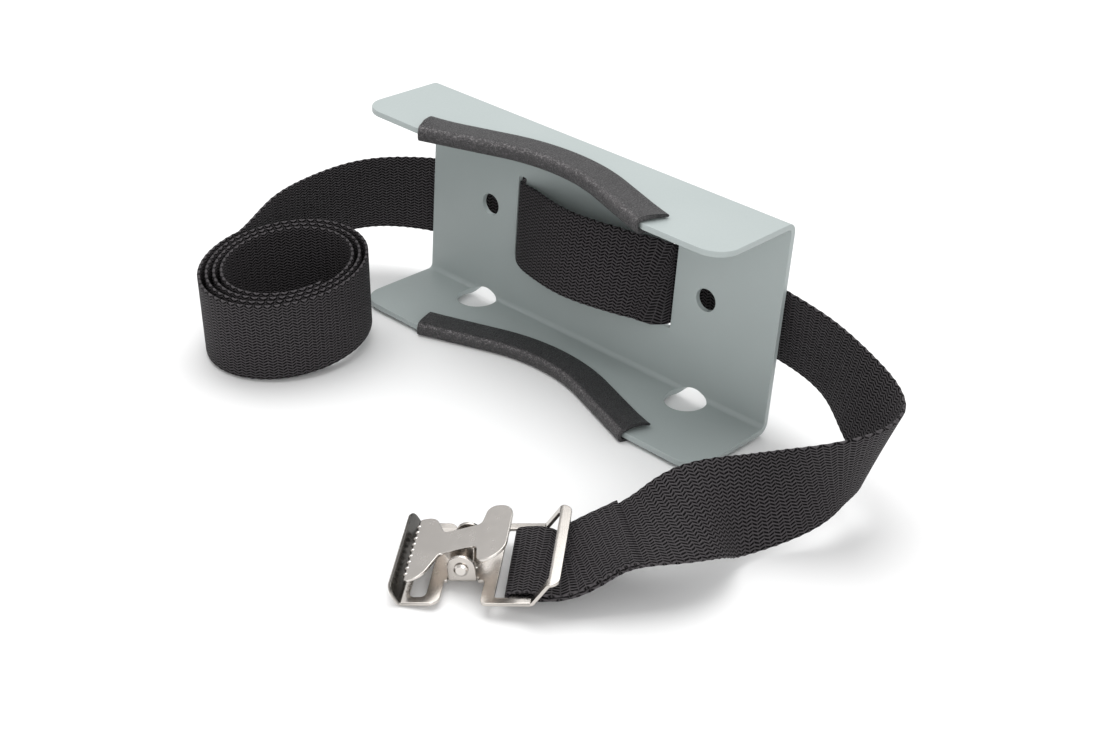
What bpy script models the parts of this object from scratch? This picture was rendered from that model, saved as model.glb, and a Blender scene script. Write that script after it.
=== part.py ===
"""Wall bracket for a gas cylinder, with its webbing strap and toothed lever buckle.

Metres, +Z up, front towards -Y. The origin is the middle of the bracket's wall face.
"""
import math

import bmesh
import bpy
import numpy as np
from mathutils import Matrix, Vector

MM = 0.001

# Bracket: one folded steel sheet, a channel open to the front
SHEET = 3.5 * MM
WEB_WIDTH = 267 * MM
WEB_HEIGHT = 130 * MM
FLANGE_DEPTH = 65.5 * MM
BEND_RADIUS = 3 * MM
FLANGE_CORNER = 15 * MM
BOLT_X = 84 * MM
BOLT_DIAMETER = 13.5 * MM
BEND_HOLE_X = 84 * MM
BEND_HOLE_WIDTH = 24 * MM
BEND_HOLE_LENGTH = 26.6 * MM
BEND_HOLE_FRONT = 24.7 * MM
SLOT_OUTER_X = 61.5 * MM
SLOT_WIDTH = 6 * MM
SLOT_HEIGHT = 53.8 * MM

# Cylinder seat cut in each flange: an arc that runs into two straight slopes
SEAT_RADIUS = 100 * MM
SEAT_DEPTH = 40.7 * MM
SEAT_SLOPE = math.radians(21.5)
SEAT_CORNER = 4 * MM

# Edge trim: a U-shaped strip pushed on the seat's edge
TRIM_WALL = 1.5 * MM
TRIM_GAP = 0.3 * MM
TRIM_LIP = 16 * MM
UPPER_TRIM_ENDS = (-83 * MM, 81 * MM)
LOWER_TRIM_ENDS = (-80.5 * MM, 84 * MM)

# Strap: flat webbing
STRAP_WIDTH = 50.8 * MM
STRAP_THICKNESS = 1.8 * MM
JOIN_GAP = 0.3 * MM
FLOOR_Z = -WEB_HEIGHT / 2 - TRIM_GAP - TRIM_WALL

# Coil: a loose oval spiral that stands on its edge and leans to the front
COIL_CENTRE = Vector((-121.5, -132.5, -34.7)) * MM
COIL_AXIS = Vector((0.04, -0.11, 1)).normalized()
COIL_INNER_X = 31.5 * MM
COIL_INNER_Y = 37.5 * MM
COIL_GROWTH_X = 3.6 * MM
COIL_GROWTH_Y = 4.6 * MM
COIL_TURNS = 3.5
COIL_STEPS_PER_TURN = 28

# The strap's middle line, x y z in millimetres, and its lean from upright in degrees
LEFT_RUN = [
    (-175, -105, -25.5, 4), (-181, -70, -21, 5), (-171.5, -28, -16, 7), (-138.5, 2, -14, -1),
    (-104, 12, -10.5, -10), (-80, 11.5, -5, -8), (-67, 6.5, -1.6, -3),
]
FRONT_SPAN = [
    (-60.4, 1.8, -1, -1), (-59, -1.75, -0.9, 0), (-57.9, -5, -0.8, 0), (-53.6, -8.5, -0.4, -3),
    (-43.5, -13.5, 1, -8), (-23, -22, 3.5, -9), (3.5, -26.7, 4.8, -10), (30, -22.8, 5.2, -10),
    (41, -18.6, 4.4, -8), (50.5, -13, 3, -6), (55.4, -8.6, 0.8, -3), (58, -5, 0, 0),
    (59, -1.75, 0, 0), (60.4, 1.8, 0, 0),
]
RIGHT_LOOP = [
    (68, 6.6, 0, 0), (84, 8.5, 0.2, 3), (106, 9, -0.5, 9), (134, 7.5, -2.2, 12), (164, 4.2, -7, 7),
    (193, -7.5, -14.3, -9), (220, -28, -21.5, -17), (217, -59, -27, -11), (200, -82, -37, 10),
    (187, -104, -40, 31), (183.5, -127, -34, 53), (176, -149, -35.5, 77), (161, -171, -44, 92),
]

# Buckle: plan sizes along its length from the strap's cross bar, and up from its base
BUCKLE_ORIGIN = Vector((138.5, -234.3, -61.1)) * MM
BUCKLE_ALONG = Vector((0.803, 0.579, 0.141)).normalized()
BUCKLE_ACROSS = Vector((-0.590, 0.806, 0.052)).normalized()
PLATE = 1.8 * MM
BUCKLE_WIDTH = 62 * MM
BAR_FROM = 13.7 * MM
BAR_TO = 17.2 * MM
BAR_MIDDLE = (BAR_FROM + BAR_TO) / 2
RAIL_WIDTH = 4.7 * MM
STRIP_FROM = -0.4 * MM
STRIP_TO = 6 * MM
JAW_INNER = -20 * MM
WAIST_WIDTH = 27.8 * MM
EAR_FOOT = 11.5 * MM
EAR_BEND = 0.6 * MM
PIN_ALONG = -11 * MM
PIN_HEIGHT = 8.3 * MM
PIN_RADIUS = 2.2 * MM
LEVER_PLATE = 1.5 * MM
LEVER_SLOPE = math.radians(15.7)
LEVER_RISE = 6.4 * MM
LEVER_WAIST = 16.4 * MM
TOOTH_COUNT = 9
TOOTH_PITCH = 4.6 * MM
SPRING_WIRE = 1 * MM

CYLINDER_STEPS = 24


def clear_scene():
    for obj in list(bpy.data.objects):
        bpy.data.objects.remove(obj, do_unlink=True)


def make_collection(name):
    collection = bpy.data.collections.new(name)
    bpy.context.scene.collection.children.link(collection)
    return collection


def material(name, color, roughness, metallic=0.0):
    mat = bpy.data.materials.new(name)
    mat.use_nodes = True
    shader = mat.node_tree.nodes["Principled BSDF"]
    shader.inputs["Base Color"].default_value = (*color, 1)
    shader.inputs["Roughness"].default_value = roughness
    shader.inputs["Metallic"].default_value = metallic
    return mat


def add_object(name, mesh, mat, collection, smooth_angle=math.radians(35)):
    mesh.name = name
    obj = bpy.data.objects.new(name, mesh)
    collection.objects.link(obj)
    mesh.materials.clear()
    mesh.materials.append(mat)
    mesh.shade_smooth()
    mesh.set_sharp_from_angle(angle=smooth_angle)
    return obj


def evaluated_mesh(obj):
    """The object's final mesh as a new mesh; the object itself is removed."""
    graph = bpy.context.evaluated_depsgraph_get()
    mesh = bpy.data.meshes.new_from_object(obj.evaluated_get(graph))
    mesh.transform(obj.matrix_world)
    bpy.data.objects.remove(obj, do_unlink=True)
    return mesh


def weld(mesh, distance=0.00001):
    work = bmesh.new()
    work.from_mesh(mesh)
    bmesh.ops.remove_doubles(work, verts=work.verts, dist=distance)
    bmesh.ops.recalc_face_normals(work, faces=work.faces)
    if work.calc_volume(signed=True) < 0:
        bmesh.ops.reverse_faces(work, faces=work.faces)
    work.to_mesh(mesh)
    work.free()
    return mesh


def plate_mesh(outlines, thickness):
    """A flat plate from outlines in its plane, the first round the outside, from 0 to thickness."""
    curve = bpy.data.curves.new("plate", "CURVE")
    curve.dimensions = "2D"
    curve.fill_mode = "BOTH"
    curve.extrude = thickness / 2
    for outline in outlines:
        spline = curve.splines.new("POLY")
        spline.points.add(len(outline) - 1)
        for point, (along, across) in zip(spline.points, outline):
            point.co = (along, across, 0, 1)
        spline.use_cyclic_u = True
    obj = bpy.data.objects.new("plate", curve)
    bpy.context.scene.collection.objects.link(obj)
    mesh = weld(evaluated_mesh(obj))
    mesh.transform(Matrix.Translation((0, 0, thickness / 2)))
    return mesh


def circle(x, y, radius, steps=CYLINDER_STEPS, stretch=1.0):
    turn = [2 * math.pi * (i + 0.5) / steps for i in range(steps)]
    return [(x + radius * math.cos(t), y + radius * stretch * math.sin(t)) for t in turn]


def rounded(corners, steps=6):
    """An outline from corners (x, y, radius), each rounded with an arc."""
    outline = []
    for i, (x, y, radius) in enumerate(corners):
        here = Vector((x, y))
        before = (Vector(corners[i - 1][:2]) - here).normalized()
        after = (Vector(corners[(i + 1) % len(corners)][:2]) - here).normalized()
        if radius == 0:
            outline.append((x, y))
            continue
        half = before.angle(after) / 2
        start = here + before * radius / math.tan(half)
        centre = here + (before + after).normalized() * radius / math.sin(half)
        sweep = (start - centre).angle_signed(here + after * radius / math.tan(half) - centre)
        for k in range(steps + 1):
            spoke = (start - centre).copy()
            spoke.rotate(Matrix.Rotation(-sweep * k / steps, 2))
            outline.append(tuple(centre + spoke))
    return outline


def bend(mesh, axis, start, direction, inner_radius, angle, thickness, inside=None, steps=6):
    """Bends a plate up (angle > 0) or down about a line across it, at start along axis 0 or 1.

    Material past start in the direction (+1 or -1) is turned; inside(x, y) limits the region.
    """
    work = bmesh.new()
    work.from_mesh(mesh)
    up = angle > 0
    turn = abs(angle)
    length = turn * (inner_radius + thickness / 2)
    normal = Vector((1, 0, 0)) if axis == 0 else Vector((0, 1, 0))
    for k in range(steps + 1):
        place = normal * (start + direction * length * k / steps)
        geometry = work.verts[:] + work.edges[:] + work.faces[:]
        bmesh.ops.bisect_plane(work, geom=geometry, dist=1e-7, plane_co=place, plane_no=normal)
    for vert in work.verts:
        past = (vert.co[axis] - start) * direction
        if past <= 0 or (inside and not inside(vert.co.x, vert.co.y)):
            continue
        height = vert.co.z if up else thickness - vert.co.z
        reach = thickness + inner_radius - height
        theta = min(past / length, 1) * turn
        rest = max(past - length, 0)
        out = reach * math.sin(theta) + rest * math.cos(theta)
        rise = thickness + inner_radius - reach * math.cos(theta) + rest * math.sin(theta)
        vert.co[axis] = start + direction * out
        vert.co.z = rise if up else thickness - rise
    bmesh.ops.recalc_face_normals(work, faces=work.faces)
    work.to_mesh(mesh)
    work.free()


def seat_line(x):
    """Distance of the seat's edge from the wall face, at a distance x from the middle."""
    tangent = SEAT_RADIUS * math.sin(SEAT_SLOPE)
    if abs(x) <= tangent:
        return SEAT_DEPTH + SEAT_RADIUS - math.sqrt(SEAT_RADIUS ** 2 - x * x)
    drop = SEAT_RADIUS * (1 - math.cos(SEAT_SLOPE))
    return SEAT_DEPTH + drop + (abs(x) - tangent) * math.tan(SEAT_SLOPE)


def seat_path(left, right, steps=24):
    """Points (x, distance) along the seat's edge, from left to right: slope, arc, slope."""
    tangent = SEAT_RADIUS * math.sin(SEAT_SLOPE)
    arc = [
        SEAT_RADIUS * math.sin(SEAT_SLOPE * (2 * k / steps - 1))
        for k in range(steps + 1)
    ]
    stations = [left, (left - tangent) / 2] + arc + [(right + tangent) / 2, right]
    return [(x, seat_line(x)) for x in stations]


def flange_edge(front):
    """The flange's front edge in the flat sheet, from the right corner to the left one."""
    slope_end = (front - seat_line(SEAT_RADIUS * math.sin(SEAT_SLOPE))) / math.tan(SEAT_SLOPE)
    mouth = SEAT_RADIUS * math.sin(SEAT_SLOPE) + slope_end
    inner = mouth - SEAT_CORNER
    return seat_path(-inner, inner)[::-1], mouth


def make_bracket(mat, collection):
    """The sheet is cut flat, with its holes and slots, then both flanges are folded forward."""
    outer = BEND_RADIUS + SHEET
    bend_length = math.pi / 2 * (BEND_RADIUS + SHEET / 2)
    web_half = WEB_HEIGHT / 2 - outer
    half_width = WEB_WIDTH / 2

    def flat(distance):
        """Height in the flat sheet of a point on the flange, from its distance to the wall."""
        return web_half + bend_length + distance - outer

    seat, mouth = flange_edge(FLANGE_DEPTH)
    front = flat(FLANGE_DEPTH)
    top = rounded([
        (half_width, 0, 0), (half_width, front, FLANGE_CORNER), (mouth, front, SEAT_CORNER),
        (mouth - SEAT_CORNER, flat(seat[0][1]), 0),
    ])
    top = top[:-1] + [(x, flat(d)) for x, d in seat]
    top += [(-x, y) for x, y in top[:-len(seat)][::-1]]
    top = [p for i, p in enumerate(top) if i == 0 or p != top[i - 1]]
    outline = top[1:-1] + [(x, -y) for x, y in top[1:-1][::-1]]
    stretch = BEND_HOLE_LENGTH / BEND_HOLE_WIDTH
    hole_y = -(flat(BEND_HOLE_FRONT) - BEND_HOLE_LENGTH / 2)
    slot_x = SLOT_OUTER_X - SLOT_WIDTH / 2
    holes = []
    for side in (-1, 1):
        holes.append(circle(side * BOLT_X, 0, BOLT_DIAMETER / 2))
        centre = side * BEND_HOLE_X
        holes.append(circle(centre, hole_y, BEND_HOLE_WIDTH / 2, CYLINDER_STEPS, stretch))
        left, right = side * slot_x - SLOT_WIDTH / 2, side * slot_x + SLOT_WIDTH / 2
        low, high = -SLOT_HEIGHT / 2, SLOT_HEIGHT / 2
        corner = SLOT_WIDTH * 0.2
        holes.append(rounded([
            (left, low, corner), (right, low, corner), (right, high, corner), (left, high, corner),
        ], 3))
    mesh = plate_mesh([outline] + holes, SHEET)
    for direction in (-1, 1):
        bend(mesh, 1, direction * web_half, direction, BEND_RADIUS, math.pi / 2, SHEET)
    mesh.transform(Matrix(((1, 0, 0, 0), (0, 0, -1, 0), (0, 1, 0, 0), (0, 0, 0, 1))))
    return add_object("bracket", mesh, mat, collection)


def trim_profile():
    """The trim's inner face: distance in from the seat's edge, and height from the sheet's middle."""
    half = SHEET / 2 + TRIM_GAP
    nose = [math.radians(90 - 180 * k / 6) for k in range(7)]
    curve = [(-half * 0.55 * math.cos(t), half * math.sin(t)) for t in nose]
    return [(TRIM_LIP, half)] + [(d - TRIM_GAP, h) for d, h in curve] + [(TRIM_LIP, -half)]


def surface(rows):
    """An open mesh surface through rows of points."""
    mesh = bpy.data.meshes.new("surface")
    width = len(rows[0])
    points = [tuple(p) for row in rows for p in row]
    faces = [
        (r * width + c, (r + 1) * width + c, (r + 1) * width + c + 1, r * width + c + 1)
        for r in range(len(rows) - 1)
        for c in range(width - 1)
    ]
    mesh.from_pydata(points, [], faces)
    return mesh


def solidified(name, rows, thickness, offset, mat, collection):
    obj = add_object(name, surface(rows), mat, collection)
    shell = obj.modifiers.new("thickness", "SOLIDIFY")
    shell.thickness = thickness
    shell.offset = offset
    shell.use_even_offset = True
    mesh = weld(evaluated_mesh(obj))
    return add_object(name, mesh, mat, collection)


def make_trim(name, height, ends, mat, collection):
    path = seat_path(*ends, 20)
    rows = []
    for i, (x, distance) in enumerate(path):
        before = Vector(path[max(i - 1, 0)])
        after = Vector(path[min(i + 1, len(path) - 1)])
        along = (after - before).normalized()
        inward = Vector((along.y, -along.x)) if along.x > 0 else Vector((-along.y, along.x))
        row = []
        for depth, rise in trim_profile():
            spot = Vector((x, distance)) + inward * depth
            row.append((spot.x, -spot.y, height + rise))
        rows.append(row)
    return solidified(name, rows, TRIM_WALL, -1, mat, collection)


def natural_spline(points, samples):
    """Smooth curve through points (rows of any width), sampled at even spacing."""
    data = np.array(points, float)
    chord = np.linalg.norm(np.diff(data[:, :3], axis=0), axis=1) ** 0.7
    knots = np.concatenate([[0], np.cumsum(chord)])
    step = np.diff(knots)
    count = len(knots)
    system = np.eye(count)
    right = np.zeros_like(data)
    for i in range(1, count - 1):
        system[i, i - 1:i + 2] = step[i - 1], 2 * (step[i - 1] + step[i]), step[i]
        right[i] = 6 * ((data[i + 1] - data[i]) / step[i] - (data[i] - data[i - 1]) / step[i - 1])
    second = np.linalg.solve(system, right)
    fine = np.linspace(0, knots[-1], samples * 8)
    cell = np.clip(np.searchsorted(knots, fine, side="right") - 1, 0, count - 2)
    a = ((knots[cell + 1] - fine) / step[cell])[:, None]
    b = 1 - a
    width = (step[cell] ** 2 / 6)[:, None]
    curve = a * data[cell] + b * data[cell + 1]
    curve += ((a ** 3 - a) * second[cell] + (b ** 3 - b) * second[cell + 1]) * width
    length = np.concatenate([[0], np.cumsum(np.linalg.norm(np.diff(curve[:, :3], axis=0), axis=1))])
    even = np.linspace(0, length[-1], samples)
    return np.stack([np.interp(even, length, curve[:, k]) for k in range(data.shape[1])], 1)


def band(points):
    """Middle points and across directions of the strap, from rows x y z lean."""
    middle = points[:, :3] * MM
    along = np.gradient(middle, axis=0)
    along /= np.linalg.norm(along, axis=1, keepdims=True)
    upright = np.array([0, 0, 1.0]) - along * along[:, 2:3]
    upright /= np.linalg.norm(upright, axis=1, keepdims=True)
    side = np.cross(along, upright)
    lean = np.radians(points[:, 3:4])
    return middle, np.cos(lean) * upright + np.sin(lean) * side


def strap_rows(middle, across):
    half = STRAP_WIDTH / 2
    return [[Vector(m - a * half), Vector(m), Vector(m + a * half)] for m, a in zip(middle, across)]


def coil_point(turns):
    """Middle of the strap in the coil, at a number of turns out from its inner end."""
    angle = -2 * math.pi * turns
    x_axis = Vector((1, 0, 0)) - COIL_AXIS * COIL_AXIS.x
    x_axis.normalize()
    y_axis = COIL_AXIS.cross(x_axis)
    reach_x = COIL_INNER_X + COIL_GROWTH_X * turns
    reach_y = COIL_INNER_Y + COIL_GROWTH_Y * turns
    return COIL_CENTRE + x_axis * reach_x * math.cos(angle) + y_axis * reach_y * math.sin(angle)


def make_coil(mat, collection):
    steps = int(COIL_TURNS * COIL_STEPS_PER_TURN)
    half = COIL_AXIS * STRAP_WIDTH / 2
    rows = []
    for k in range(steps + 1):
        spot = coil_point(COIL_TURNS * k / steps)
        rows.append([spot - half, spot, spot + half])
    return solidified("strap_coil", rows, STRAP_THICKNESS, 0, mat, collection)


def strap_route():
    """The strap from the coil's outer end to the buckle: even samples, with marks by x."""
    tail = [coil_point(COIL_TURNS - back / 28) / MM for back in (3, 2, 1, 0)]
    start = [(p.x, p.y, p.z, 4) for p in tail]
    return natural_spline(start + LEFT_RUN + FRONT_SPAN + RIGHT_LOOP + buckle_end(), 700), start


def buckle_point(along, across, up):
    """A world point from the buckle's own lengths."""
    normal = BUCKLE_ALONG.cross(BUCKLE_ACROSS)
    return BUCKLE_ORIGIN + BUCKLE_ALONG * along + BUCKLE_ACROSS * across + normal * up


def buckle_end():
    """The strap's last stretch, below the cross bar, as rows in millimetres."""
    rows = []
    for along, across, up, lean in ((34, 31.0, -0.9, 88), (24, 31, -1.3, 87), (16.2, 31, -1.7, 87)):
        rows.append((*(buckle_point(along * MM, across * MM, up * MM) / MM), lean))
    return rows


def cut(points, first, last):
    """The samples between two marks, where each mark is the closest sample to a point."""
    index = [int(np.argmin(np.linalg.norm(points[:, :3] - np.array(m[:3]), axis=1)))
             for m in (first, last)]
    return index[0], index[1]


def make_strap(mat, collection):
    points, start = strap_route()
    middle, across = band(points)
    marks = [start[-1], LEFT_RUN[-1], RIGHT_LOOP[0], buckle_end()[-1]]
    join = int(np.argmin(np.linalg.norm(middle - np.array(marks[0][:3]) * MM, axis=1)))
    for i in range(join, join + 30):
        share = (i - join) / 30
        across[i] = (1 - share) * np.array(COIL_AXIS) + share * across[i]
    names = ["strap_left_run", "strap_front_span", "strap_right_loop"]
    strides = (6, 3, 6)
    for name, first, last, stride in zip(names, marks, marks[1:], strides):
        low, high = cut(points, first, last)
        picks = list(range(low + 1, high - 1, stride)) + [high - 1]
        rows = strap_rows(middle[picks], across[picks])
        solidified(name, rows, STRAP_THICKNESS, 0, mat, collection)
    make_fold(points, middle, across, mat, collection)


def make_fold(points, middle, across, mat, collection):
    """The strap's end: round the cross bar, then back on top of the strap, where it is sewn."""
    bottom, _ = cut(points, buckle_end()[-1], buckle_end()[-1])
    ply = STRAP_THICKNESS + 0.8 * MM
    lift_at_bar = PLATE + 1.6 * MM + STRAP_THICKNESS
    run = 55 * MM
    back = []
    travelled = 0
    for i in range(bottom, 0, -1):
        travelled += float(np.linalg.norm(middle[i] - middle[i - 1]))
        if travelled > run:
            break
        back.append((i, travelled))
    rows = []
    half = STRAP_WIDTH / 2
    along = Vector(middle[bottom] - middle[bottom - 4]).normalized()
    side = Vector(across[bottom])
    normal = side.cross(along)
    if normal.z < 0:
        normal = -normal
    foot = Vector(middle[bottom]) + along * JOIN_GAP
    straight = 2.4 * MM
    radius = lift_at_bar / 2
    arc = [foot, foot + along * straight]
    for k in range(1, 8):
        theta = math.pi * k / 8
        shift = along * math.sin(theta) + normal * (1 - math.cos(theta))
        arc.append(foot + along * straight + shift * radius)
    arc.append(foot + along * straight + normal * lift_at_bar)
    arc.append(foot + normal * lift_at_bar)
    for spot in arc:
        rows.append([spot - side * half, spot, spot + side * half])
    for i, travelled in back[4::5]:
        settled = min(max((travelled - 4 * MM) / (14 * MM), 0), 1)
        level = ply + (lift_at_bar - ply) * (1 + math.cos(math.pi * settled)) / 2
        ahead = Vector(middle[i] - middle[i - 1]).normalized()
        edge = Vector(across[i])
        up = edge.cross(ahead)
        if up.z < 0:
            up = -up
        spot = Vector(middle[i]) + up * level
        rows.append([spot - edge * half, spot, spot + edge * half])
    solidified("strap_buckle_fold", rows, STRAP_THICKNESS, 0, mat, collection)


def buckle_matrix(along, up):
    """Places a buckle piece whose own origin is on an axis across the buckle."""
    normal = BUCKLE_ALONG.cross(BUCKLE_ACROSS)
    spot = buckle_point(along, BUCKLE_WIDTH / 2, up)
    turn = Matrix((BUCKLE_ALONG, BUCKLE_ACROSS, normal)).transposed()
    return Matrix.Translation(spot) @ turn.to_4x4()


def joint_empty(name, along, up, collection, parent=None):
    empty = bpy.data.objects.new(name, None)
    empty.empty_display_size = 0.02
    collection.objects.link(empty)
    empty.matrix_world = buckle_matrix(along, up)
    if parent:
        empty.parent = parent
        empty.matrix_parent_inverse = parent.matrix_world.inverted()
    return empty


def attach(obj, empty, along, up):
    """Parents a piece modelled in the buckle's own lengths to an empty on its joint's axis."""
    obj.data.transform(Matrix.Translation((-along, 0, -up)))
    obj.parent = empty


def make_buckle_frame(mat, collection, empty):
    """A stamped plate: jaw window, waist with two ears, strap windows and a raised end bar."""
    half = BUCKLE_WIDTH / 2
    waist = WAIST_WIDTH / 2
    rail = half - RAIL_WIDTH
    lip_line, lip_rise = -37.8 * MM, 11 * MM
    jaw_end = lip_line - lip_rise
    bar_end = 43.6 * MM
    ear_from, ear_to = PIN_ALONG - 6.8 * MM, PIN_ALONG + 6.8 * MM
    ear_top, relief = EAR_FOOT + 15.5 * MM, 0.6 * MM
    right = [
        (bar_end, half, 5 * MM), (STRIP_FROM, half, 3 * MM), (STRIP_FROM, waist, 1.5 * MM),
        (ear_to + relief, waist, 0), (ear_to + relief, EAR_FOOT, 0), (ear_to, EAR_FOOT, 0),
        (ear_to, ear_top, 6.5 * MM), (ear_from, ear_top, 6.5 * MM), (ear_from, EAR_FOOT, 0),
        (ear_from - relief, EAR_FOOT, 0), (ear_from - relief, waist, 0),
        (JAW_INNER, waist, 1.2 * MM), (JAW_INNER, half, 5 * MM), (jaw_end, half, 5 * MM),
    ]
    left = [(x, -y, r) for x, y, r in right[::-1]]
    outline = rounded(right + left, 5)
    jaw_window = rounded([
        (-35 * MM, -rail, 3 * MM), (-26.9 * MM, -rail, 3 * MM),
        (-26.9 * MM, rail, 3 * MM), (-35 * MM, rail, 3 * MM),
    ], 4)
    front_window = rounded([
        (STRIP_TO, -rail, 1.2 * MM), (BAR_FROM, -rail, 1.2 * MM),
        (BAR_FROM, rail, 1.2 * MM), (STRIP_TO, rail, 1.2 * MM),
    ], 3)
    strap_window = rounded([
        (BAR_TO, -rail, 1.2 * MM), (38.2 * MM, -rail, 2 * MM),
        (38.2 * MM, rail, 2 * MM), (BAR_TO, rail, 1.2 * MM),
    ], 3)
    pin_holes = [
        circle(PIN_ALONG, side * (EAR_FOOT + PIN_HEIGHT), PIN_RADIUS + JOIN_GAP, 16)
        for side in (-1, 1)
    ]
    mesh = plate_mesh([outline, jaw_window, front_window, strap_window] + pin_holes, PLATE)
    rise = math.radians(52)
    bend(mesh, 0, 37.7 * MM, 1, 1 * MM, -rise, PLATE, steps=3)
    bend(mesh, 0, 23.4 * MM, 1, 1 * MM, rise, PLATE, steps=3)
    bend(mesh, 0, lip_line, -1, 1 * MM, math.radians(66), PLATE, steps=4)

    def on_ear(x, y):
        return ear_from - 0.1 * MM <= x <= ear_to + 0.1 * MM

    for direction in (-1, 1):
        bend(mesh, 1, direction * EAR_FOOT, direction, EAR_BEND, math.pi / 2, PLATE, on_ear, 3)
    obj = add_object("buckle_frame", weld(mesh), mat, collection)
    attach(obj, empty, BAR_MIDDLE, PLATE / 2)
    return obj


def lever_outline():
    """The lever's butterfly plan: a toothed edge, two wings, a waist and a thumb tab."""
    waist = LEVER_WAIST / 2
    wing = [
        (-26.6 * MM, 24 * MM, 2 * MM), (-16.3 * MM, 23 * MM, 9 * MM), (-9.3 * MM, waist, 3 * MM),
        (10.2 * MM, waist, 3 * MM), (12.2 * MM, 20.5 * MM, 6 * MM),
        (25.6 * MM, 18 * MM, 13 * MM),
    ]
    teeth = []
    for k in range(TOOTH_COUNT):
        across = ((TOOTH_COUNT - 1) / 2 - k) * TOOTH_PITCH
        teeth += [(-25 * MM, -across - 1.9 * MM, 0), (-29 * MM, -across, 0.6 * MM)]
        teeth.append((-25 * MM, -across + 1.9 * MM, 0))
    return wing + [(x, -y, r) for x, y, r in wing[::-1]] + teeth


def make_lever(mat, collection, empty):
    """The toothed lever: a plate with a bent toothed edge and two cheeks down to the pin."""
    plate = plate_mesh([rounded(lever_outline(), 4)], LEVER_PLATE)
    bend(plate, 0, -24.2 * MM, -1, 0.8 * MM, math.radians(-75), LEVER_PLATE, steps=3)
    obj = add_object("buckle_lever", weld(plate), mat, collection)
    lift = Matrix.Translation((0, 0, LEVER_RISE))
    obj.data.transform(Matrix.Rotation(-LEVER_SLOPE, 4, "Y") @ lift)
    cheek_out = LEVER_WAIST / 2
    cheek_top = LEVER_RISE + 0.6 * MM
    cheek = rounded([
        (-7.2 * MM, cheek_top, 0), (-3.9 * MM, -3.9 * MM, 3.2 * MM),
        (3.9 * MM, -3.9 * MM, 3.2 * MM), (8.6 * MM, cheek_top, 0),
    ], 4)
    pin_hole = circle(0, 0, PIN_RADIUS + 0.3 * MM, 16)
    for side in (-1, 1):
        mesh = plate_mesh([cheek, pin_hole], LEVER_PLATE)
        low = cheek_out - LEVER_PLATE if side > 0 else -cheek_out
        stand = Matrix.Translation((0, low + LEVER_PLATE, 0)) @ Matrix.Rotation(math.pi / 2, 4, "X")
        mesh.transform(Matrix.Rotation(-LEVER_SLOPE, 4, "Y") @ stand)
        unite(obj, mesh, mat, collection)
    weld(obj.data)
    obj.parent = empty
    return obj


def unite(obj, mesh, mat, collection):
    """Joins a closed mesh to an object with a Boolean union, which is applied."""
    other = add_object("joined", mesh, mat, collection)
    union = obj.modifiers.new("union", "BOOLEAN")
    union.operation = "UNION"
    union.object = other
    graph = bpy.context.evaluated_depsgraph_get()
    result = bpy.data.meshes.new_from_object(obj.evaluated_get(graph))
    obj.modifiers.clear()
    result.name = obj.name
    obj.data = result
    bpy.data.objects.remove(other, do_unlink=True)


def make_pin(mat, collection, empty):
    """Headed pin: a turned profile about the buckle's across axis."""
    outer = EAR_FOOT + EAR_BEND + PLATE + JOIN_GAP
    head, head_radius = 1.3 * MM, 3.5 * MM
    profile = [
        (0, outer + head), (head_radius * 0.7, outer + head), (head_radius, outer + head * 0.5),
        (head_radius, outer), (PIN_RADIUS, outer),
    ]
    profile += [(r, -y) for r, y in profile[::-1]]
    mesh = bpy.data.meshes.new("profile")
    edges = [(i, i + 1) for i in range(len(profile) - 1)]
    mesh.from_pydata([(r, 0, y) for r, y in profile], edges, [])
    obj = bpy.data.objects.new("profile", mesh)
    collection.objects.link(obj)
    screw = obj.modifiers.new("turn", "SCREW")
    screw.steps = screw.render_steps = CYLINDER_STEPS
    screw.use_merge_vertices = True
    screw.merge_threshold = 0.00001
    turned = weld(evaluated_mesh(obj))
    turned.transform(Matrix.Rotation(math.pi / 2, 4, "X"))
    pin = add_object("pivot_pin", turned, mat, collection)
    pin.parent = empty
    return pin


def make_spring(mat, collection, empty):
    """Torsion spring round the pin: one leg on the frame, one under the lever."""
    radius = PIN_RADIUS + 0.5 * MM + SPRING_WIRE / 2
    turns = 4
    half = 5.5 * MM
    curve = bpy.data.curves.new("spring", "CURVE")
    curve.dimensions = "3D"
    curve.bevel_depth = SPRING_WIRE / 2
    curve.bevel_resolution = 1
    curve.use_fill_caps = True
    points = [(6 * MM, -half, -5.6 * MM)]
    steps = turns * 12
    for k in range(steps + 1):
        theta = -math.pi / 2 + 2 * math.pi * (turns + 0.5) * k / steps
        across = -half + 2 * half * k / steps
        points.append((radius * math.cos(theta), across, radius * math.sin(theta)))
    points.append((5.5 * MM, half, 4.4 * MM))
    spline = curve.splines.new("POLY")
    spline.points.add(len(points) - 1)
    for point, (x, y, z) in zip(spline.points, points):
        point.co = (x, y, z, 1)
    obj = bpy.data.objects.new("spring", curve)
    collection.objects.link(obj)
    mesh = weld(evaluated_mesh(obj))
    spring = add_object("torsion_spring", mesh, mat, collection)
    spring.parent = empty
    return spring


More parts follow.
